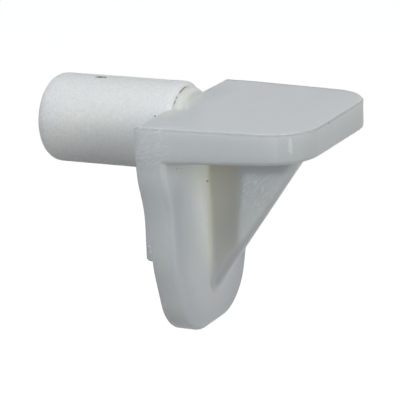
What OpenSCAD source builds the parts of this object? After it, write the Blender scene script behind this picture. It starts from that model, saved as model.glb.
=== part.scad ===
// Shelf support with a round pin, moulded in one piece from natural plastic.
// Origin: on the pin's axis, in the plane of the cabinet wall that the back lies against.
// The pin points to -X into the wall, the plate reaches out to +X, +Z is up.

/* [Pin] */
// Diameter of the pin
pin_d = 5; // [4:0.1:6.4]
// Length of the pin, from the wall to its tip
pin_len = 8; // [6:0.1:12]
// Round on the pin's tip
pin_tip_r = 0.8; // [0.2:0.05:1.5]
// How far the pin's root runs out over the plate
root_run = 0.3; // [0.1:0.05:0.5]
// Round on the rim of the root
root_rim_r = 0.25; // [0.1:0.05:0.4]
// Hollow that blends the root into the plate
root_hollow_r = 0.5; // [0.2:0.05:0.6]

/* [Plate] */
// Height of the seat, the plate's flat top, above the pin's axis
seat_h = 1.35; // [0.8:0.05:1.6]
// Reach of the plate from the wall
plate_reach = 9.5; // [8.5:0.1:14]
// Width of the plate at the wall
plate_w = 11.6; // [11:0.1:14]
// How much narrower the plate is at its front edge
plate_taper = 1.3; // [0.2:0.1:2]
// Thickness of the plate at the wall
plate_t = 2.05; // [1.8:0.05:2.6]
// Thickness of the plate at its front edge
plate_front_t = 1.65; // [1.2:0.05:1.8]
// Radius of the two front corners, seen from above
plate_corner_r = 2.5; // [1.5:0.1:4]
// Round on the lower edges
plate_edge_r = 0.25; // [0.1:0.05:0.5]

/* [Back] */
// Overall height, from the seat down to the toe
body_h = 12.6; // [11.5:0.1:16]
// Thickness of the back, with its wall pad
back_t = 1.7; // [1.3:0.05:2.2]
// Width of the waist
waist_w = 10; // [9:0.1:10.8]
// Width of the toe, where its sides would meet its lower edge
toe_w = 6.8; // [6:0.1:8.2]
// Corner radius of the toe
toe_r = 3.1; // [1.6:0.1:3.4]
// Drop from the seat to where the sides turn inwards
shoulder_drop = 2.75; // [2.5:0.05:3.2]
// Drop from the seat to where the waist begins
waist_drop = 5; // [4.6:0.05:5.8]
// Radius of the bends in the sides
side_bend_r = 4.5; // [2:0.1:6]
// Round on the front edges
back_edge_r = 0.35; // [0.2:0.05:0.9]

/* [Wall pad] */
// Height of the raised wall pad, from the seat down to its lower edge
pad_h = 7.9; // [7:0.1:8.6]
// Height of the pad above the rest of the rear face
pad_t = 0.35; // [0.2:0.05:0.5]
// Step at the mould's parting line round the pad
parting_step = 0.05; // [0.02:0.01:0.1]

/* [Web] */
// Thickness of the triangular web under the plate
web_t = 1.25; // [0.9:0.05:1.8]
// From the plate's front edge back to where the web meets the plate
web_front_gap = 1.5; // [1:0.1:4]
// From the toe's lower edge up to the foot of the web
web_foot_gap = 1.8; // [1.6:0.1:5]
// Round on the web's free edge
web_edge_r = 0.5; // [0.1:0.05:0.55]

/* [Hidden] */
$fn = 72;

natural_white = [0.86, 0.88, 0.87];
// How far the forms run into each other, so that they make one solid
bury = 0.5;
// Degrees between the points of an arc, and steps up a rounded edge
arc_step = 4;
edge_steps = 8;

// The rounds leave a flat on the walls that they are cut from
back_wall = back_t - pad_t;
back_edge = min(back_edge_r, 0.8 * back_wall);
web_edge = min(web_edge_r, 0.45 * web_t);
// The round of the root's rim stays clear of the hole in the wall
root_rim = min(root_rim_r, root_run);
// The two bends of each shoulder leave a straight stretch between them
shoulder = [(plate_w - waist_w) / 2, waist_drop - shoulder_drop];
shoulder_turn = atan(shoulder[0] / shoulder[1]);
side_bend = min(side_bend_r, 0.45 * norm(shoulder) / tan(shoulder_turn / 2));

// The underside climbs towards the front
rise = atan((plate_t - plate_front_t) / plate_reach);
toe_z = seat_h - body_h;
pad_z = seat_h - pad_h;
// Where the back ends inside the plate
back_top_z = seat_h - plate_t / 2;
plate_front_w = plate_w - plate_taper;
web_reach = plate_reach - web_front_gap;
web_foot_z = toe_z + web_foot_gap;
// How far the web runs into the back and the plate
web_bury = back_wall / 4;

// The plate's outline from above as [x, y, corner radius]; its sides taper past the back
plate_path = [
    [-bury, -plate_w / 2, 0],
    [back_t, -plate_w / 2, side_bend],
    [plate_reach, -plate_front_w / 2, plate_corner_r],
    [plate_reach, plate_front_w / 2, plate_corner_r],
    [back_t, plate_w / 2, side_bend],
    [-bury, plate_w / 2, 0]
];

// The back's outline from the front as [y, z, bend radius]: shoulder, waist, pad's end and toe
back_side = [
    [plate_w / 2, back_top_z, 0],
    [plate_w / 2, seat_h - shoulder_drop, side_bend],
    [waist_w / 2, seat_h - waist_drop, side_bend],
    [waist_w / 2, pad_z, side_bend],
    [toe_w / 2, toe_z, toe_r]
];
function flipped(side) = [for (p = side) [-p[0], p[1], p[2]]];
function backwards(side) = [for (i = [len(side) - 1:-1:0]) side[i]];
back_path = concat(flipped(back_side), backwards(back_side));

// Geometry of a path that runs counter-clockwise, with its inside on the left
function spot(p) = [p[0], p[1]];
function heading(a, b) = (spot(b) - spot(a)) / norm(spot(b) - spot(a));
function left_of(u) = [-u[1], u[0]];
function bearing(u) = atan2(u[1], u[0]);
function bend(u, v) = atan2(u[0] * v[1] - u[1] * v[0], u * v);
// Heading into and out of corner i
function way_in(path, i) = heading(path[i - 1], path[i]);
function way_out(path, i) = heading(path[i], path[i + 1]);
function bend_at(path, i) = bend(way_in(path, i), way_out(path, i));
// Length of side that the round of corner i takes up
function lead(path, i) = path[i][2] * tan(abs(bend_at(path, i)) / 2);
function arc_centre(path, i) = spot(path[i]) - way_in(path, i) * lead(path, i)
    + left_of(way_in(path, i)) * path[i][2] * sign(bend_at(path, i));
// Points round the arc of corner i, at a depth inside the outline
function arc_points(path, i, depth) = let(
    turned = sign(bend_at(path, i)),
    first = bearing(-left_of(way_in(path, i)) * turned),
    steps = ceil(abs(bend_at(path, i)) / arc_step)
) [for (k = [0:steps]) let(a = first + bend_at(path, i) * k / steps)
    arc_centre(path, i) + (path[i][2] - turned * depth) * [cos(a), sin(a)]];
// The whole outline, at a depth inside it
function outline(path, depth) = let(last = len(path) - 1) [
    spot(path[0]) + left_of(way_out(path, 0)) * depth,
    for (i = [1:last - 1], p = arc_points(path, i, depth)) p,
    spot(path[last]) + left_of(way_in(path, last)) * depth
];

// Slab with its outline along a path that is the same on both sides, and its upper edge rounded
// all the way: one ring of points at its base, one where the round starts, and more up the round.
// Strips from side to side close its two faces.
module edged_slab(path, height, edge) {
    rings = concat([[0, 0]], [for (k = [0:edge_steps]) let(a = 90 * k / edge_steps)
        [height - edge * (1 - sin(a)), edge * (1 - cos(a))]]);
    n = len(outline(path, 0));
    top = (len(rings) - 1) * n;
    strips = [for (i = [0:n / 2 - 2]) [i, i + 1, n - 2 - i, n - 1 - i]];
    polyhedron(
        [for (ring = rings, p = outline(path, ring[1])) concat(p, ring[0])],
        concat(
            strips,
            [for (k = [0:len(rings) - 2], i = [0:n - 1]) let(j = (i + 1) % n)
                [k * n + i, (k + 1) * n + i, (k + 1) * n + j, k * n + j]],
            [for (strip = strips) [for (m = [3:-1:0]) top + strip[m]]]
        )
    );
}

module pin() {
    length = pin_len + root_run;
    translate([root_run, 0, 0]) rotate([0, -90, 0]) rotate_extrude() intersection() {
        square([pin_d / 2, length]);
        union() {
            translate([0, root_rim]) square([pin_d / 2, length - root_rim - pin_tip_r]);
            square([pin_d / 2 - root_rim, length / 2]);
            translate([0, length / 2]) square([pin_d / 2 - pin_tip_r, length / 2]);
            translate([pin_d / 2 - root_rim, root_rim]) circle(root_rim);
            translate([pin_d / 2 - pin_tip_r, length - pin_tip_r]) circle(pin_tip_r);
        }
    }
}

// Hollow ramp from the root's end face down to the seat, as wide as the root's rim
module root_hollow() {
    out = root_run + root_hollow_r;
    intersection() {
        rotate([0, 90, 0]) cylinder(h = out, r = pin_d / 2 - root_rim);
        rotate([90, 0, 0]) linear_extrude(pin_d, center = true) difference() {
            translate([root_run / 2, seat_h - bury]) square([out - root_run / 2, root_hollow_r + bury]);
            translate([out, seat_h + root_hollow_r]) circle(root_hollow_r);
        }
    }
}

module plate() {
    height = plate_t + bury;
    intersection() {
        translate([0, 0, seat_h - plate_t]) rotate([0, -rise, 0])
            translate([0, 0, height]) rotate([180, 0, 0]) edged_slab(plate_path, height, plate_edge_r);
        translate([0, -plate_w, seat_h - 2 * plate_t]) cube([2 * plate_reach, 2 * plate_w, 2 * plate_t]);
    }
}

module back() {
    rotate([90, 0, 90]) {
        translate([0, 0, pad_t]) edged_slab(back_path, back_wall, back_edge);
        linear_extrude(pad_t + bury / 2) intersection() {
            polygon(outline(back_path, parting_step));
            translate([-plate_w / 2, pad_z]) square([plate_w, pad_h]);
        }
    }
}

// Flat triangle, and a bar with rounded edges along its free side that it runs into
module web() {
    // Free edge from its foot on the back up to the plate's underside
    foot = [back_t, web_foot_z];
    head = [web_reach, seat_h - plate_t + web_reach * tan(rise)];
    along = heading(foot, head);
    inwards = left_of(along) * (web_edge + web_bury / 2);
    rotate([90, 0, 0]) linear_extrude(web_t, center = true)
        polygon([
            [back_t - web_bury, seat_h - plate_t + web_bury],
            foot + inwards - along * web_bury,
            head + inwards + along * web_bury
        ]);
    translate([foot[0], 0, foot[1]]) rotate([0, -bearing(along), 0])
        translate([-web_bury, 0, 0]) rotate([90, 0, 90])
            linear_extrude(norm(head - foot) + 2 * web_bury) union() {
                translate([-web_t / 2, web_edge]) square([web_t, web_bury]);
                translate([web_edge - web_t / 2, 0]) square([web_t - 2 * web_edge, 2 * web_edge]);
                for (side = [-1, 1]) translate([side * (web_t / 2 - web_edge), web_edge])
                    circle(web_edge);
            }
}

module shelf_support() {
    color(natural_white) union() {
        pin();
        root_hollow();
        plate();
        back();
        web();
    }
}

shelf_support();
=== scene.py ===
import math

import bmesh
import bpy
from mathutils import Matrix, Vector


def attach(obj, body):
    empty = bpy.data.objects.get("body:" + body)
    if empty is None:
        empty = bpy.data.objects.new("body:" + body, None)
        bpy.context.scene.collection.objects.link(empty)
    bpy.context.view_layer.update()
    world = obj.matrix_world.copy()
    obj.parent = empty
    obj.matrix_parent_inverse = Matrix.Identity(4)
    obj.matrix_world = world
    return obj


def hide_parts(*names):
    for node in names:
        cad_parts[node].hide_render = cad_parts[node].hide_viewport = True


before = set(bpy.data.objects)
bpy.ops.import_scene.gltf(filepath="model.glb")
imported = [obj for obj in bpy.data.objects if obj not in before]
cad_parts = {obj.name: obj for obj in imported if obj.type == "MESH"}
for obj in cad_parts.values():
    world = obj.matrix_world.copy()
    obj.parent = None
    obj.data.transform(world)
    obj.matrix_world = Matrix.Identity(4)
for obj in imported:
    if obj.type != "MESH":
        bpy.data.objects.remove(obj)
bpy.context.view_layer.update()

# The moulding's lengths are in millimetres. It is brought to metres once, when all its forms have
# run together. The floor, the lamps and the camera are in metres.

# --- Natural plastic ------------------------------------------------------------------------
# One uncoloured resin, a little translucent, cool where light falls on it; the warmer light and
# shade inside its corners is painted on further down. Polished mould walls leave it smooth; the
# spark-eroded pin cavity leaves it satin.
resin_satin = (0.905, 0.93, 0.95, 1)
resin_smooth = (0.697, 0.72, 0.743, 1)
resin_ior = 1.5
resin_specular = 0.25
# How far light wanders in the resin, in metres, and how much of that in each colour
light_reach = 0.0014
light_reach_rgb = (1.0, 0.95, 0.8)
clouds_per_metre = 420.0
roughness_swing = 0.25


def add_node(tree, kind, settings=None, **values):
    """Add a node, with its settings, and values for the inputs that are named."""
    made = tree.nodes.new(kind)
    for name, value in (settings or {}).items():
        setattr(made, name, value)
    for name, value in values.items():
        made.inputs[name.replace("_", " ")].default_value = value
    return made


def sum_node(tree, kind, operation, terms):
    """Add a sum over some terms, each of which is a socket to read or a constant."""
    made = add_node(tree, kind, {"operation": operation})
    for term, taken in zip(terms, made.inputs):
        if isinstance(term, bpy.types.NodeSocket):
            tree.links.new(term, taken)
        else:
            taken.default_value = term
    return made


def number(tree, operation, *terms):
    """What a sum over numbers gives."""
    return sum_node(tree, "ShaderNodeMath", operation, terms).outputs["Value"]


def vector(tree, operation, *terms):
    """What a sum over vectors gives: a number, if it is a length or a dot product."""
    made = sum_node(tree, "ShaderNodeVectorMath", operation, terms)
    return made.outputs["Value" if operation in ("LENGTH", "DOT_PRODUCT") else "Vector"]


def new_group(name, takes, gives):
    """Start a node group with named sockets. Gives its tree, its inputs and its outputs."""
    tree = bpy.data.node_groups.new(name, "ShaderNodeTree")
    for in_out, sockets in (("INPUT", takes), ("OUTPUT", gives)):
        for socket, kind in sockets.items():
            tree.interface.new_socket(socket, in_out=in_out, socket_type="NodeSocket" + kind)
    return (tree, add_node(tree, "NodeGroupInput").outputs,
            add_node(tree, "NodeGroupOutput").inputs)


def resin_group():
    """Clouding and grain of the moulded surface, from its place on the part."""
    tree, given, put_out = new_group(
        "resin_surface",
        {"Colour": "Color", "Clouding": "Float", "Grain Tone": "Float",
         "Grains per Metre": "Float", "Mean Roughness": "Float"},
        {"Colour": "Color", "Roughness": "Float", "Height": "Float"},
    )
    place = add_node(tree, "ShaderNodeTexCoord").outputs["Object"]
    cloud = add_node(tree, "ShaderNodeTexNoise", Scale=clouds_per_metre, Detail=3.0, Roughness=0.55)
    grain = add_node(tree, "ShaderNodeTexNoise", Detail=2.0, Roughness=0.6)
    pit = add_node(tree, "ShaderNodeTexVoronoi", {"feature": "SMOOTH_F1"}, Smoothness=0.35)
    for texture in (cloud, grain, pit):
        tree.links.new(place, texture.inputs["Vector"])
    for texture in (grain, pit):
        tree.links.new(given["Grains per Metre"], texture.inputs["Scale"])
    # Both textures swing about 0, so that the mean colour stays as it is given
    cloudy = number(tree, "SUBTRACT", cloud.outputs["Fac"], 0.5)
    grainy = number(tree, "SUBTRACT", grain.outputs["Fac"], 0.5)
    tone = number(tree, "MULTIPLY_ADD", cloudy, given["Clouding"], 1.0)
    tone = number(tree, "MULTIPLY_ADD", grainy, given["Grain Tone"], tone)
    for name, result in (
        ("Colour", vector(tree, "MULTIPLY", given["Colour"], tone)),
        ("Roughness",
         number(tree, "MULTIPLY_ADD", grainy, roughness_swing, given["Mean Roughness"])),
        ("Height", number(tree, "ADD", grain.outputs["Fac"], pit.outputs["Distance"])),
    ):
        tree.links.new(result, put_out[name])
    return tree


resin_surface = resin_group()


def resin(name, colour, clouding, grain_tone, grains, roughness, relief):
    """Moulded finish of the resin, with its grains per metre and their relief in millimetres."""
    made = bpy.data.materials.new(name)
    made.use_nodes = True
    tree = made.node_tree
    bsdf = tree.nodes["Principled BSDF"]
    surface = add_node(
        tree, "ShaderNodeGroup", {"node_tree": resin_surface}, Colour=colour, Clouding=clouding,
        Grain_Tone=grain_tone, Grains_per_Metre=grains, Mean_Roughness=roughness,
    )
    bump = add_node(tree, "ShaderNodeBump", Distance=relief / 1000, Strength=1.0)
    tree.links.new(surface.outputs["Height"], bump.inputs["Height"])
    tree.links.new(surface.outputs["Colour"], bsdf.inputs["Base Color"])
    tree.links.new(surface.outputs["Roughness"], bsdf.inputs["Roughness"])
    tree.links.new(bump.outputs["Normal"], bsdf.inputs["Normal"])
    bsdf.inputs["IOR"].default_value = resin_ior
    bsdf.inputs["Specular IOR Level"].default_value = resin_specular
    bsdf.inputs["Subsurface Weight"].default_value = 1.0
    bsdf.inputs["Subsurface Scale"].default_value = light_reach
    bsdf.inputs["Subsurface Radius"].default_value = light_reach_rgb
    return made


satin = resin("natural_plastic_satin", resin_satin,
              clouding=0.05, grain_tone=0.24, grains=6500, roughness=0.5, relief=0.02)
smooth = resin("natural_plastic_smooth", resin_smooth,
               clouding=0.06, grain_tone=0.04, grains=5000, roughness=0.36, relief=0.0015)


# --- Pin ------------------------------------------------------------------------------------
# The round pin that sits in the drilled hole in the cabinet side. It is moulded in one with the
# plate; its satin cavity ends at a round rim over the seat, and a smooth boss stands on that end.
pin_r = 2.5
pin_tip_x = -8
pin_tip_round = 0.8
root_x = 0.3
root_rim_round = 0.25
boss_r = 2.2
boss_x = 0.82
boss_round = 0.3
boss_len = 1
merge_under = 0.0002


def at(value, wanted):
    return abs(value - wanted) < 0.001


def edges_where(bm, test):
    """Edges that have both ends where the test says."""
    return [edge for edge in bm.edges if all(test(vert.co) for vert in edge.verts)]


def round_off(bm, edges, radius, steps, turn=90):
    """Round some edges to a radius, where the surface turns by a number of degrees."""
    bmesh.ops.bevel(
        bm, geom=edges, offset=radius * math.tan(math.radians(turn / 2)), offset_type="OFFSET",
        segments=steps, profile=0.5, affect="EDGES", material=-1, clamp_overlap=False,
    )


def form(name, bm):
    """Close off a bmesh as an object of its own, in the plastic's two finishes."""
    bmesh.ops.remove_doubles(bm, verts=bm.verts, dist=merge_under)
    bmesh.ops.recalc_face_normals(bm, faces=bm.faces)
    mesh = bpy.data.meshes.new(name)
    bm.to_mesh(mesh)
    bm.free()
    for finish in (smooth, satin):
        mesh.materials.append(finish)
    made = bpy.data.objects.new(name, mesh)
    bpy.context.scene.collection.objects.link(made)
    return made


def rod(radius, rear_x, front_x, sides=144):
    """Start a form with a round rod round the pin's axis."""
    bm = bmesh.new()
    middle = Matrix.Translation(((rear_x + front_x) / 2, 0, 0))
    bmesh.ops.create_cone(
        bm, cap_ends=True, segments=sides, radius1=radius, radius2=radius,
        depth=front_x - rear_x, matrix=middle @ Matrix.Rotation(math.radians(90), 4, "Y"),
    )
    return bm


def pin_form():
    bm = rod(pin_r, pin_tip_x, root_x)
    round_off(bm, edges_where(bm, lambda p: at(p.x, pin_tip_x)), pin_tip_round, 12)
    round_off(bm, edges_where(bm, lambda p: at(p.x, root_x)), root_rim_round, 6)
    for face in bm.faces:
        face.material_index = 1
    return form("pin_form", bm)


def boss_form():
    bm = rod(boss_r, boss_x - boss_len, boss_x)
    round_off(bm, edges_where(bm, lambda p: at(p.x, boss_x)), boss_round, 8)
    return form("boss_form", bm)


moulding = pin_form()


# --- Plate ----------------------------------------------------------------------------------
# The flat plate that the shelf lies on. It tapers a little in width and thickness towards its
# front, where both corners are rounded, as the mould needs to let it go.
seat_z = 1.35
back_t = 1.7
plate_reach = 9.5
plate_half_w = 5.8
plate_front_half_w = 5.15
plate_t = 2.05
plate_front_t = 1.65
plate_corner_r = 2.5
plate_lower_round = 0.25
# The mould parts just below the seat: the plate's lid stands in a little above that line, and a
# faint lip runs round below it
parting_z = 1.24
lid_set_in = 0.03
lid_base_z = 1.0
lid_round = 0.05
lip_out = 0.012
lip_t = 0.1
lip_round = 0.01
# The slabs' rear faces stand this far apart, so that no two of them share a plane
rear_gap = 0.003
# Round on the lid's rear edge, and the block that is cut away outside it
rear_round = 0.2
waste_half_w = 7
waste_t = 0.1


def underside(x):
    return seat_z - plate_t + (plate_t - plate_front_t) * x / plate_reach


def draw_out(bm, face, axis, end):
    """Draw a face out into a solid, to where a rule puts its corners along an axis."""
    for piece in bmesh.ops.extrude_face_region(bm, geom=[face])["geom"]:
        if isinstance(piece, bmesh.types.BMVert):
            setattr(piece.co, axis, end(piece.co))


def quarter_arc(bm, start, centre, axis, steps):
    """Corners along a quarter circle round a centre, from its start on."""
    others = set(bm.verts)
    first = bm.verts.new(start)
    bmesh.ops.spin(
        bm, geom=[first], cent=centre, axis=axis, angle=math.radians(90), steps=steps,
        use_merge=False,
    )
    arc = [vert for vert in bm.verts if vert not in others]
    return sorted(arc, key=lambda vert: (vert.co - first.co).length)


def run_together(first, second, how="UNION"):
    """Join two closed forms into the first, and drop the second."""
    cut = first.modifiers.new("run_together", "BOOLEAN")
    cut.operation = how
    cut.solver = "EXACT"
    cut.object = second
    depsgraph = bpy.context.evaluated_depsgraph_get()
    joined = bpy.data.meshes.new_from_object(first.evaluated_get(depsgraph))
    first.modifiers.remove(cut)
    old = first.data
    first.data = joined
    bpy.data.meshes.remove(old)
    bpy.data.meshes.remove(second.data)
    return first


def plate_slab(widen, rear_x, top_z, lower_face, top_round, lower_round):
    """Slab with the plate's outline, its free upper and lower edges rounded."""
    half_w, front_half_w = plate_half_w + widen, plate_front_half_w + widen
    reach = plate_reach + widen
    outline = [(rear_x, -half_w), (back_t, -half_w), (reach, -front_half_w),
               (reach, front_half_w), (back_t, half_w), (rear_x, half_w)]
    bm = bmesh.new()
    top = bm.faces.new([bm.verts.new((x, y, top_z)) for x, y in outline])
    draw_out(bm, top, "z", lambda p: lower_face(p.x))
    front = edges_where(bm, lambda p: at(p.x, reach))
    upright = [edge for edge in front if at(edge.verts[0].co.y, edge.verts[1].co.y)]
    turn = 90 - math.degrees(math.atan((half_w - front_half_w) / (reach - back_t)))
    round_off(bm, upright, plate_corner_r, 26, turn)
    for face_z, radius in ((lambda x: top_z, top_round), (lower_face, lower_round)):
        if radius:
            rim = edges_where(bm, lambda p: at(p.z, face_z(p.x)))
            free = [edge for edge in rim if any(vert.co.x > back_t / 2 for vert in edge.verts)]
            round_off(bm, free, radius, 5)
    return form("plate_slab", bm)


def rear_waste():
    """What lies outside the round of the lid's rear edge, over the wall."""
    bm = bmesh.new()
    start_z = seat_z - rear_round
    arc = quarter_arc(
        bm, (0, -waste_half_w, start_z), (rear_round, -waste_half_w, start_z), (0, 1, 0), 6)
    block = [(rear_round, seat_z + waste_t), (-waste_t, seat_z + waste_t), (-waste_t, start_z)]
    side = bm.faces.new(arc + [bm.verts.new((x, -waste_half_w, z)) for x, z in block])
    draw_out(bm, side, "y", lambda p: waste_half_w)
    return form("rear_waste", bm)


lid = plate_slab(-lid_set_in, 3 * rear_gap, seat_z, lambda x: lid_base_z, lid_round, 0)
for slab in (
    plate_slab(0, rear_gap, parting_z - rear_gap, underside, 0, plate_lower_round),
    run_together(lid, rear_waste(), "DIFFERENCE"),
    plate_slab(lip_out, 2 * rear_gap, parting_z, lambda x: parting_z - lip_t, lip_round, 0),
):
    run_together(moulding, slab)
run_together(moulding, boss_form())


# --- Back and wall pad ----------------------------------------------------------------------
# The back hangs down from the plate and lies against the cabinet side, so that the load can't
# tip the support. Its upper part carries a raised pad; the tongue below stands off the wall.
# The mould parts round its edge, which leaves a small step there.
back_top_z = 0.25
# A hair less than the plate's, so that their sides don't share a plane
back_half_w = 5.797
waist_half_w = 5
toe_half_w = 3.4
toe_z = -11.25
toe_r = 3.1
shoulder_z = -1.4
waist_z = -3.65
tongue_z = -6.55
side_bend_r = 4.5
back_front_round = 0.35
pad_end_z = -6.47
pad_corner_r = 0.3
pad_t = 0.35
# How far the pad runs into the back
pad_bury = 0.4
parting_step = 0.05


def back_slab(rear_x, front_x, inset, end_z, end_half_w):
    """Slab with the back's outline: shoulders, waist and, below, the pad's end or the toe."""
    side = [
        (back_half_w - inset, back_top_z), (back_half_w - inset, shoulder_z),
        (waist_half_w - inset, waist_z), (waist_half_w - inset, max(end_z, tongue_z)),
    ]
    is_pad = end_z > tongue_z
    if not is_pad:
        side.append((end_half_w, end_z))
    bm = bmesh.new()
    loop = [(-y, z) for y, z in side] + side[::-1]
    rear = bm.faces.new([bm.verts.new((rear_x, y, z)) for y, z in loop])
    draw_out(bm, rear, "x", lambda p: front_x)
    shoulder_turn = math.degrees(math.atan((back_half_w - waist_half_w) / (shoulder_z - waist_z)))
    for y, z in side[1:3]:
        bend = edges_where(bm, lambda p: at(abs(p.y), y) and at(p.z, z))
        round_off(bm, bend, side_bend_r, 5, shoulder_turn)
    low_y, low_z = side[3]
    low_corner = edges_where(bm, lambda p: at(abs(p.y), low_y) and at(p.z, low_z))
    if is_pad:
        round_off(bm, low_corner, pad_corner_r, 6)
    else:
        toe_turn = math.degrees(math.atan((waist_half_w - end_half_w) / (tongue_z - end_z)))
        round_off(bm, low_corner, side_bend_r, 4, toe_turn)
        toe = [edge for edge in edges_where(bm, lambda p: at(p.z, end_z))
               if at(edge.verts[0].co.y, edge.verts[1].co.y)]
        round_off(bm, toe, toe_r, 20, 90 - toe_turn)
        rim = [edge for edge in edges_where(bm, lambda p: at(p.x, front_x))
               if not all(at(vert.co.z, back_top_z) for vert in edge.verts)]
        round_off(bm, rim, back_front_round, 9)
    return form("back_slab", bm)


run_together(moulding, back_slab(pad_t, back_t, 0, toe_z, toe_half_w))
run_together(moulding, back_slab(0, pad_t + pad_bury, parting_step, pad_end_z, waist_half_w))


# --- Web ------------------------------------------------------------------------------------
# The flat triangle in the middle that holds the plate up from the back. Its free edge is
# rounded on both sides; a small hollow fillet fills each corner between it and the back.
web_half_t = 0.625
web_foot_z = -9.45
web_head_x = 8
web_edge_round = 0.5
web_bury = 0.3
fillet_r = 0.26
fillet_bury = 0.2
# The fillet's radius at some heights: it runs out towards its lower end
fillet_rings = ((-8.9, 0.03), (-8.1, fillet_r), (-0.4, fillet_r))


def web_form():
    foot = Vector((back_t, 0, web_foot_z))
    head = Vector((web_head_x, 0, underside(web_head_x)))
    along = (head - foot).normalized()
    corners = [foot - along * web_bury, head + along * web_bury,
               Vector((back_t - web_bury, 0, seat_z - plate_t + web_bury))]
    bm = bmesh.new()
    side = bm.faces.new([bm.verts.new((p.x, -web_half_t, p.z)) for p in corners])
    draw_out(bm, side, "y", lambda p: web_half_t)
    free = [edge for edge in bm.edges if at(edge.verts[0].co.y, edge.verts[1].co.y)
            and all(at((Vector((vert.co.x, 0, vert.co.z)) - foot).cross(along).length, 0)
                    for vert in edge.verts)]
    round_off(bm, free, web_edge_round, 6)
    return form("web_form", bm)


def web_fillet(side):
    """Hollow fillet in one corner between web and back."""
    bm = bmesh.new()
    corner_y = side * web_half_t
    sunk_x, sunk_y = back_t - fillet_bury, corner_y - side * fillet_bury
    rings = []
    for z, r in fillet_rings:
        end_y = corner_y + side * r
        ring = quarter_arc(
            bm, (back_t + r, corner_y, z), (back_t + r, end_y, z), (0, 0, -side), 10)
        ring += [bm.verts.new((x, y, z)) for x, y in (
            (sunk_x, end_y), (sunk_x, sunk_y), (back_t + r, sunk_y))]
        rings.append([bm.edges.get(pair) or bm.edges.new(pair)
                      for pair in zip(ring, ring[1:] + ring[:1])])
        if z in (fillet_rings[0][0], fillet_rings[-1][0]):
            bm.faces.new(ring)
    for low, high in zip(rings, rings[1:]):
        bmesh.ops.bridge_loops(bm, edges=low + high)
    return form("web_fillet", bm)


run_together(moulding, web_form())
for side in (-1, 1):
    run_together(moulding, web_fillet(side))


# --- Blend at the root ----------------------------------------------------------------------
# A hollow ramp from the flat end of the boss down to the seat. It is narrower than the boss, and
# starts a little inside it.
root_hollow_r = 0.5
root_hollow_x = boss_x - 0.03
root_hollow_reach = 1.95
root_hollow_bury = 0.5
root_hollow_rear_x = 0.1


def root_hollow():
    bm = bmesh.new()
    out, high = root_hollow_x + root_hollow_r, seat_z + root_hollow_r
    arc = quarter_arc(bm, (root_hollow_x, -pin_r, high), (out, -pin_r, high), (0, -1, 0), 12)
    block = [(out, seat_z - root_hollow_bury), (root_hollow_rear_x, seat_z - root_hollow_bury),
             (root_hollow_rear_x, high)]
    side = bm.faces.new(arc + [bm.verts.new((x, -pin_r, z)) for x, z in block])
    draw_out(bm, side, "y", lambda p: pin_r)
    reach = form("root_reach", rod(root_hollow_reach, -2, 2, sides=130))
    return run_together(form("root_hollow", bm), reach, "INTERSECT")


run_together(moulding, root_hollow())


# --- Marks that the mould leaves ------------------------------------------------------------
# The gate is cut off at the near front corner and leaves three small beads; the pad's edge
# carries two crumbs of flash. All are the same plastic, and melted into the surface.
gate_beads = [(8.63, -4.69, 0.98, 0.1), (8.62, -4.7, 0.67, 0.09), (8.61, -4.72, 0.32, 0.12)]
gate_faces = Vector((0.66, -0.75, 0))
pad_crumbs = [(0.18, -4.97, -5.6, 0.1), (0.24, -4.97, -5.84, 0.12)]
pad_faces = Vector((0, -1, 0))
bead_shape = (1, 1.2, 0.6, 1)


def bead(x, y, z, radius, faces):
    """Flat round bead, half sunk in the surface that faces that way."""
    bm = bmesh.new()
    lie_flat = faces.to_track_quat("Z", "Y").to_matrix().to_4x4()
    bmesh.ops.create_uvsphere(
        bm, u_segments=12, v_segments=8, radius=radius,
        matrix=Matrix.Translation((x, y, z)) @ lie_flat @ Matrix.Diagonal(bead_shape),
    )
    return form("bead", bm)


for beads, faces in ((gate_beads, gate_faces), (pad_crumbs, pad_faces)):
    for x, y, z, radius in beads:
        run_together(moulding, bead(x, y, z, radius, faces))


# --- Tones, dirt, and painted light and shade -----------------------------------------------
# Some tones are painted light and shade: a creamy glow round the root, light and shade at the
# web's root, shade on the thin rims, light on the flanks, a light tint at the front corner, and
# shade along the parting line. The gate mark, the drawn lines, a little dirt and scorched resin are
# the resin's own. Each is laid over the finish by a mask from its place.
# Painted light: paler, creamier resin round the thick root
painted_glow_on_seat = (0.79, 0.8, 0.765, 1)
# Painted light: paler back beside the web's root
painted_light_by_web = (0.93, 0.95, 0.95, 1)
# Painted light: warm light under the plate
painted_warm_light_under_plate = (0.8, 0.81, 0.72, 1)
# Painted shadow: warm, darker web sides near the back, where the small lamp's shadow falls
painted_shadow_on_web = (0.71, 0.685, 0.6, 1)
# Painted light: creamy strip in the corner between web and back
painted_light_in_corner = (0.95, 0.96, 0.87, 1)
# Painted shade: darker, cooler rims round the tongue
painted_shade_round_tongue = (0.61, 0.637, 0.675, 1)
# Painted shade: darker, cooler free edge of the web
painted_shade_on_free_edge = (0.55, 0.575, 0.61, 1)
# Painted light: paler flanks
painted_light_on_flank = (0.742, 0.768, 0.79, 1)
# Painted light: faint yellow tint at the far front corner
painted_yellow_light_at_front = (0.71, 0.71, 0.65, 1)
whitened_gate = (0.83, 0.86, 0.87, 1)
# Painted shade: faint dark band along the parting line
painted_shade_on_parting_line = (0.35, 0.35, 0.35, 1)
boss_dirt = (0.25, 0.23, 0.15, 1)
drawn_on_web = (0.87, 0.9, 0.9, 1)
drawn_on_side = (0.86, 0.89, 0.91, 1)
scorched = (0.13, 0.12, 0.07, 1)
# Direction square to the web's free edge
free_edge_faces = (0.802, 0, -0.598)


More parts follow.
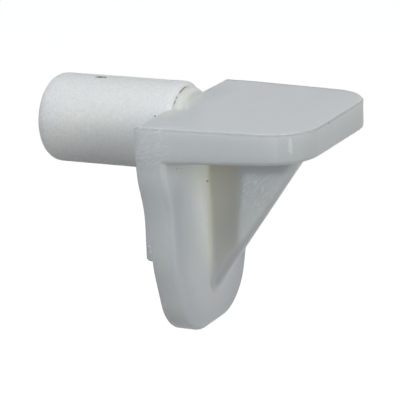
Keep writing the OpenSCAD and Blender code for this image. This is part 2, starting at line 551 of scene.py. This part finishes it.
def stain_or_paint_light(tree, mask, colour, share=1.0):
    """Lay one more colour over the base colour, at a share of its strength in the mask: a stain,
    or painted light or shade.
    """
    bsdf = tree.nodes["Principled BSDF"]
    base = bsdf.inputs["Base Color"].links[0].from_socket
    over = add_node(tree, "ShaderNodeMix", {"data_type": "RGBA"}, B=colour)
    tree.links.new(number(tree, "MULTIPLY", mask, share), over.inputs["Factor"])
    tree.links.new(base, over.inputs["A"])
    tree.links.new(over.outputs["Result"], bsdf.inputs["Base Color"])


def overlap(tree, *masks):
    """Mask of where all of some masks lie."""
    product = masks[0]
    for mask in masks[1:]:
        product = number(tree, "MULTIPLY", product, mask)
    return product


def ramp(tree, value, start, end):
    """Mask that goes from 0 to 1 between two values."""
    made = add_node(tree, "ShaderNodeMapRange", {"interpolation_type": "SMOOTHSTEP"},
                    From_Min=start, From_Max=end)
    tree.links.new(value, made.inputs["Value"])
    return made.outputs["Result"]


def part_place(tree):
    """Place on the part in millimetres, and its parts X, Y and Z."""
    metres = add_node(tree, "ShaderNodeTexCoord").outputs["Object"]
    place = vector(tree, "MULTIPLY", metres, (1000, 1000, 1000))
    split = add_node(tree, "ShaderNodeSeparateXYZ")
    tree.links.new(place, split.inputs[0])
    return place, split.outputs


def squeezed_distance(tree, place, centre, squeeze):
    """Distance from a place on the part, with each direction weighted."""
    away = vector(tree, "SUBTRACT", place, centre)
    return vector(tree, "LENGTH", vector(tree, "MULTIPLY", away, squeeze))


def paint_glow_round_root(tree):
    """Painted light: paler and creamier round the thick root, for light that the thick resin
    scatters back, fading out over the seat round it.
    """
    place = part_place(tree)[0]
    away = squeezed_distance(tree, place, (0.3, -0.5, seat_z), (1.4, 0.42, 0.75))
    stain_or_paint_light(tree, ramp(tree, away, 1.5, 0.8), painted_glow_on_seat, 0.85)


def paint_light_and_shade_at_web_root(tree):
    """Painted light and shade at the web's root: painted light on the back beside it, under the
    plate and in the corner between them, and painted shadow, warm and darker, on the web's own
    sides."""
    place, axes = part_place(tree)
    aside = number(tree, "ABSOLUTE", axes["Y"])
    below = ramp(tree, axes["Z"], -0.5, -0.8)
    in_front = ramp(tree, axes["X"], 1.3, 1.6)
    beside = squeezed_distance(tree, place, (back_t, 0, -4.2), (0.6, 0.36, 0.2))
    pale = overlap(tree, ramp(tree, beside, 1.3, 0.1), below, in_front,
                   ramp(tree, axes["X"], back_t + 0.5, back_t + 0.2))
    # Painted light on the back beside the web
    stain_or_paint_light(tree, pale, painted_light_by_web, 0.9)
    under = squeezed_distance(tree, place, (back_t, 0, -0.7), (1.0, 0.22, 0.33))
    # Painted warm light under the plate
    stain_or_paint_light(tree, overlap(tree, ramp(tree, under, 1.25, 0.3), below), painted_warm_light_under_plate, 0.6)
    lower = add_node(tree, "ShaderNodeMapRange", From_Min=-8.5, From_Max=-1.5, To_Min=0.2)
    tree.links.new(axes["Z"], lower.inputs["Value"])
    on_web = ramp(tree, aside, web_half_t + 0.095, web_half_t + 0.015)
    warm = overlap(tree, on_web, ramp(tree, axes["X"], 4.1, 3.0), below, in_front,
                   lower.outputs["Result"])
    # Painted shadow on the web's sides near the back
    stain_or_paint_light(tree, warm, painted_shadow_on_web, 0.85)
    from_corner = squeezed_distance(tree, place, (back_t + 0.08, 0, 0), (1, 0, 0))
    in_corner = overlap(tree, ramp(tree, from_corner, 0.22, 0.05),
                        ramp(tree, aside, web_half_t + 0.325, web_half_t + 0.175),
                        below, ramp(tree, axes["Z"], -9.0, -6.0))
    # Painted light in the corner between web and back
    stain_or_paint_light(tree, in_corner, painted_light_in_corner, 0.75)


def paint_shade_on_rims(tree):
    """Painted shade: darker, cooler thin rims round the tongue and along the web's free edge."""
    place, axes = part_place(tree)
    out = squeezed_distance(tree, place, (0, 0, -4.5), (0, 0.2, 0.125))
    tongue = overlap(tree, ramp(tree, out, 0.65, 0.9), ramp(tree, axes["X"], 1.3, 1.5),
                     ramp(tree, axes["Z"], -1.3, -3.2))
    stain_or_paint_light(tree, tongue, painted_shade_round_tongue)
    towards_free = vector(tree, "DOT_PRODUCT", place, free_edge_faces)
    edge = overlap(tree, ramp(tree, towards_free, 6.5, 6.85), ramp(tree, axes["X"], 1.75, 2.1),
                   ramp(tree, axes["Z"], -0.5, -1.1))
    stain_or_paint_light(tree, edge, painted_shade_on_free_edge, 0.95)


def paint_light_on_flanks(tree):
    """Painted light: the flanks, which the mould's two halves part along, a little paler, on the
    plate's upper side and on the back's side from the shoulder down towards the waist.
    """
    axes = part_place(tree)[1]
    aside = number(tree, "ABSOLUTE", axes["Y"])
    taper = (plate_half_w - plate_front_half_w) / (plate_reach - back_t)
    squared = number(tree, "MULTIPLY_ADD", axes["X"], taper, aside)
    plate = overlap(tree, ramp(tree, squared, plate_half_w - 0.06, plate_half_w - 0.01),
                    ramp(tree, axes["Z"], -0.4, 0.3))
    back = overlap(tree, ramp(tree, aside, 4.4, 4.8), ramp(tree, axes["X"], 1.5, 1.2),
                   ramp(tree, axes["Z"], -0.9, -1.3), ramp(tree, axes["Z"], -4.2, -2.4))
    stain_or_paint_light(tree, number(tree, "MAXIMUM", plate, back), painted_light_on_flank)


def paint_light_tint_at_front(tree):
    """Painted light: a faint yellow tint at the far front corner, for light that passes through the
    thin corner.
    """
    place = part_place(tree)[0]
    away = squeezed_distance(tree, place, (plate_reach, 4.5, 0.5), (1, 0.6, 1))
    stain_or_paint_light(tree, ramp(tree, away, 2.2, 0.6), painted_yellow_light_at_front, 0.7)


def gate_mark(tree):
    """Whitened streak where the gate was broken off."""
    place = part_place(tree)[0]
    away = squeezed_distance(tree, place, (8.62, -4.7, 0.65), (1, 1, 0.22))
    stain_or_paint_light(tree, ramp(tree, away, 0.15, 0.08), whitened_gate, 0.7)


def paint_shade_along_parting_line(tree):
    """Painted shade: a faint dark band from the parting line up to the seat's edge, clear of the
    pin, for the shade in the step under the seat's edge.
    """
    place, axes = part_place(tree)
    line = overlap(tree, ramp(tree, axes["Z"], parting_z - 0.04, parting_z - 0.02),
                   ramp(tree, axes["Z"], seat_z, seat_z - 0.02),
                   ramp(tree, squeezed_distance(tree, place, (0, 0, 0), (1, 1, 0)), 3.5, 4.5))
    stain_or_paint_light(tree, line, painted_shade_on_parting_line, 0.45)


def boss_dirt_group():
    """Mask of brown dashes in the upper part of the corner round the boss, in millimetres."""
    tree, given, put_out = new_group(
        "boss_dirt", {"Boss Radius": "Float", "Corner": "Float"}, {"Mask": "Float"})
    place, axes = part_place(tree)
    out = number(tree, "SUBTRACT", squeezed_distance(tree, place, (0, 0, 0), (0, 1, 1)),
                 given["Boss Radius"])
    past = number(tree, "SUBTRACT", axes["X"], given["Corner"])
    uneven = add_node(tree, "ShaderNodeTexNoise", Scale=2.6, Detail=1.0)
    tree.links.new(place, uneven.inputs["Vector"])
    mask = overlap(
        tree, ramp(tree, out, 0.07, 0.03), ramp(tree, out, -0.09, -0.05),
        ramp(tree, past, -0.06, -0.03), ramp(tree, past, 0.1, 0.06),
        ramp(tree, axes["Z"], 1.3, 1.9), ramp(tree, uneven.outputs["Fac"], 0.42, 0.56),
    )
    tree.links.new(mask, put_out["Mask"])
    return tree


def drawn_lines(tree, middle, reach, angle, relief, share, colour):
    """Fine lines that a tool drew in the mould's side wall, round a place on the part."""
    place = part_place(tree)[0]
    a = math.radians(angle)
    along = add_node(tree, "ShaderNodeCombineXYZ")
    for axis, direction, per_mm in (("X", (math.cos(a), 0, math.sin(a)), 1.9),
                                    ("Y", (-math.sin(a), 0, math.cos(a)), 8.5)):
        run = vector(tree, "DOT_PRODUCT", place, tuple(per_mm * part for part in direction))
        tree.links.new(run, along.inputs[axis])
    lines = add_node(tree, "ShaderNodeTexNoise", Scale=1.0, Detail=2.0, Roughness=0.6)
    tree.links.new(along.outputs["Vector"], lines.inputs["Vector"])
    away = squeezed_distance(tree, place, middle, (1, 8, 1))
    drawn = overlap(tree, ramp(tree, lines.outputs["Fac"], 0.49, 0.62),
                    ramp(tree, away, reach, reach * 0.55))
    bsdf = tree.nodes["Principled BSDF"]
    before = bsdf.inputs["Normal"].links[0].from_socket
    bump = add_node(tree, "ShaderNodeBump", Distance=relief / 1000, Strength=1.0)
    tree.links.new(drawn, bump.inputs["Height"])
    tree.links.new(before, bump.inputs["Normal"])
    tree.links.new(bump.outputs["Normal"], bsdf.inputs["Normal"])
    stain_or_paint_light(tree, drawn, colour, share)


def speck_group():
    """Mask of one small ragged speck, stretched along the pin's axis, in millimetres."""
    tree, given, put_out = new_group(
        "speck", {"Centre": "Vector", "Radius": "Float", "So Far": "Float"}, {"Mask": "Float"})
    place = part_place(tree)[0]
    ragged = add_node(tree, "ShaderNodeTexNoise", Scale=9.0, Detail=1.0)
    tree.links.new(place, ragged.inputs["Vector"])
    away = squeezed_distance(tree, place, given["Centre"], (0.55, 1, 1))
    uneven = number(tree, "ADD", number(tree, "DIVIDE", away, given["Radius"]),
                    ragged.outputs["Fac"])
    mask = number(tree, "MAXIMUM", ramp(tree, uneven, 1.7, 1.0), given["So Far"])
    tree.links.new(mask, put_out["Mask"])
    return tree


def scorched_specks(tree, specks):
    """Specks of scorched resin, as (x, y, z, radius)."""
    mask = None
    for x, y, z, radius in specks:
        spot = add_node(tree, "ShaderNodeGroup", {"node_tree": speck},
                        Centre=(x, y, z), Radius=radius)
        if mask:
            tree.links.new(mask, spot.inputs["So Far"])
        mask = spot.outputs["Mask"]
    stain_or_paint_light(tree, mask, scorched)


for lay_on in (paint_glow_round_root, paint_light_and_shade_at_web_root, paint_shade_on_rims, paint_light_on_flanks, paint_light_tint_at_front, gate_mark,
               paint_shade_along_parting_line):
    lay_on(smooth.node_tree)
boss_dirt_mask = boss_dirt_group()
for finish in (smooth, satin):
    dashes = add_node(finish.node_tree, "ShaderNodeGroup", {"node_tree": boss_dirt_mask},
                      Boss_Radius=boss_r, Corner=root_x)
    stain_or_paint_light(finish.node_tree, dashes.outputs["Mask"], boss_dirt, 0.7)
drawn_lines(smooth.node_tree, (4.9, -0.62, -3.3), reach=1.6, angle=52, relief=0.03, share=0.65,
            colour=drawn_on_web)
drawn_lines(smooth.node_tree, (0.6, -5.8, 0.6), reach=2.0, angle=24, relief=0.015, share=0.5,
            colour=drawn_on_side)
speck = speck_group()
scorched_specks(satin.node_tree, [
    (-4.86, -0.22, 2.49, 0.15), (-4.6, -0.2, 2.49, 0.1), (-0.5, -2.26, 1.06, 0.035),
])
scorched_specks(smooth.node_tree, [
    (1.7, -4.22, -1.22, 0.035), (1.7, -3.72, -1.35, 0.03), (1.79, -0.7, -2.85, 0.05),
    (9.5, -1.53, 1.22, 0.05), (0.85, -5.83, 1.27, 0.03), (1.7, 3.1, -7.4, 0.05),
])


# --- Finished moulding ----------------------------------------------------------------------
# All forms are one piece now. Its faces shade smoothly, apart from its mould edges.
weld_under = 0.0005
sharp_over = 32

moulding.name = "support_moulding"
moulding.data.name = "support_moulding"
bm = bmesh.new()
bm.from_mesh(moulding.data)
bmesh.ops.remove_doubles(bm, verts=bm.verts, dist=weld_under)
bmesh.ops.dissolve_degenerate(bm, edges=bm.edges, dist=weld_under)
bmesh.ops.recalc_face_normals(bm, faces=bm.faces)
bmesh.ops.scale(bm, verts=bm.verts, vec=(0.001, 0.001, 0.001))
for face in bm.faces:
    face.smooth = True
bm.to_mesh(moulding.data)
bm.free()
moulding.data.set_sharp_from_angle(angle=math.radians(sharp_over))
even = moulding.modifiers.new("even_shading", "WEIGHTED_NORMAL")
even.keep_sharp = True
even.weight = 100
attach(moulding, "root")
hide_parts("shelf_support")


# --- Floor and backdrop ---------------------------------------------------------------------
# A pale floor under the support. It glows as far as the camera or a gloss sees it, so that it
# shows white, and keeps the support's shadow; the light it bounces comes from its own colour.
floor_z = -0.026
floor_half = 0.6
floor_grey = (0.3, 0.3, 0.3, 1)
floor_glow = 0.88
white = (1, 1, 1, 1)


def seen_share(tree):
    """1 for rays that look at the studio: from the camera, off a gloss or through glass."""
    looks = add_node(tree, "ShaderNodeLightPath").outputs
    seen = number(tree, "MAXIMUM", looks["Is Camera Ray"], looks["Is Glossy Ray"])
    return number(tree, "MAXIMUM", seen, looks["Is Transmission Ray"])


def floor_finish():
    made = bpy.data.materials.new("pale_floor")
    made.use_nodes = True
    tree = made.node_tree
    bsdf = tree.nodes["Principled BSDF"]
    bsdf.inputs["Base Color"].default_value = floor_grey
    bsdf.inputs["Roughness"].default_value = 1.0
    bsdf.inputs["Specular IOR Level"].default_value = 0.0
    bsdf.inputs["Emission Color"].default_value = white
    glow = number(tree, "MULTIPLY", seen_share(tree), floor_glow)
    tree.links.new(glow, bsdf.inputs["Emission Strength"])
    return made


def floor_piece():
    bm = bmesh.new()
    bmesh.ops.create_grid(
        bm, x_segments=1, y_segments=1, size=floor_half,
        matrix=Matrix.Translation((0, 0, floor_z)))
    mesh = bpy.data.meshes.new("floor")
    bm.to_mesh(mesh)
    bm.free()
    mesh.materials.append(floor_finish())
    made = bpy.data.objects.new("floor", mesh)
    bpy.context.scene.collection.objects.link(made)
    return made


floor_piece()


# --- Studio light ---------------------------------------------------------------------------
# White backdrop all round that gives little light of its own, and soft square lamps above, in
# front and behind. A small one at the left, whose light is sharper, draws the back's shadow on
# the web.
world_level = 0.05
lamp_away = 0.4
soft_size = 0.16
small_size = 0.012
cool_light = (0.94, 0.98, 1.0)

world = bpy.data.worlds.new("studio")
bpy.context.scene.world = world
world.use_nodes = True
level = add_node(world.node_tree, "ShaderNodeMapRange", To_Min=world_level, To_Max=1.0)
backdrop = world.node_tree.nodes["Background"]
backdrop.inputs["Color"].default_value = white
world.node_tree.links.new(seen_share(world.node_tree), level.inputs["Value"])
world.node_tree.links.new(level.outputs["Result"], backdrop.inputs["Strength"])


def direction(azimuth, elevation):
    """Direction in which something stands: 0 degrees of azimuth are at the near side, -Y."""
    a, e = math.radians(azimuth), math.radians(elevation)
    return Vector((math.cos(e) * math.sin(a), -math.cos(e) * math.cos(a), math.sin(e)))


def lamp(name, azimuth, elevation, size, watts, colour):
    """Square lamp that shines on the support from a direction."""
    data = bpy.data.lights.new(name, "AREA")
    data.shape = "SQUARE"
    data.size = size
    data.energy = watts
    data.color = colour
    made = bpy.data.objects.new(name, data)
    bpy.context.scene.collection.objects.link(made)
    toward = direction(azimuth, elevation)
    made.location = toward * lamp_away
    made.rotation_euler = toward.to_track_quat("Z", "Y").to_euler()


for name, azimuth, elevation, size, watts, colour in (
    ("small_left", -23.5, 17, small_size, 0.373, (0.953, 0.995, 1.0)),
    ("high_front", 0, 55, soft_size, 0.269, cool_light),
    ("top", 0, 85, soft_size, 0.502, cool_light),
    ("low_front", 60, 12, soft_size, 0.343, (1.0, 0.995, 0.93)),
    ("front_fill", 90, 0, soft_size, 0.532, (0.93, 0.98, 1.0)),
    ("rear_fill", -90, 10, soft_size, 0.037, (0.97, 1.0, 1.0)),
):
    lamp(name, azimuth, elevation, size, watts, colour)


# --- Camera ---------------------------------------------------------------------------------
# Long lens at the support's right-hand side, turned a little towards its front and standing a
# little above the seat. It leans by about two degrees.
camera_azimuth = 26
camera_elevation = 15.75
camera_roll = math.radians(-2.24)
camera_away = 0.15
camera_target = Vector((0.00093, 0.00002, -0.0042))
image_width = 400
focal_pixels = 2696

camera_data = bpy.data.cameras.new("camera")
camera = bpy.data.objects.new("camera", camera_data)
bpy.context.scene.collection.objects.link(camera)
toward = direction(camera_azimuth, camera_elevation)
right = (-toward).cross(Vector((0, 0, 1))).normalized()
up = right.cross(-toward)
across = right * math.cos(camera_roll) + up * math.sin(camera_roll)
upright = up * math.cos(camera_roll) - right * math.sin(camera_roll)
camera.matrix_world = Matrix.Translation(camera_target + toward * camera_away) @ Matrix(
    (across, upright, toward)).transposed().to_4x4()
camera_data.sensor_width = 36
camera_data.lens = focal_pixels / image_width * camera_data.sensor_width
camera_data.clip_start = 0.01
camera_data.clip_end = 5
bpy.context.scene.camera = camera
bpy.context.scene.view_settings.view_transform = "Standard"
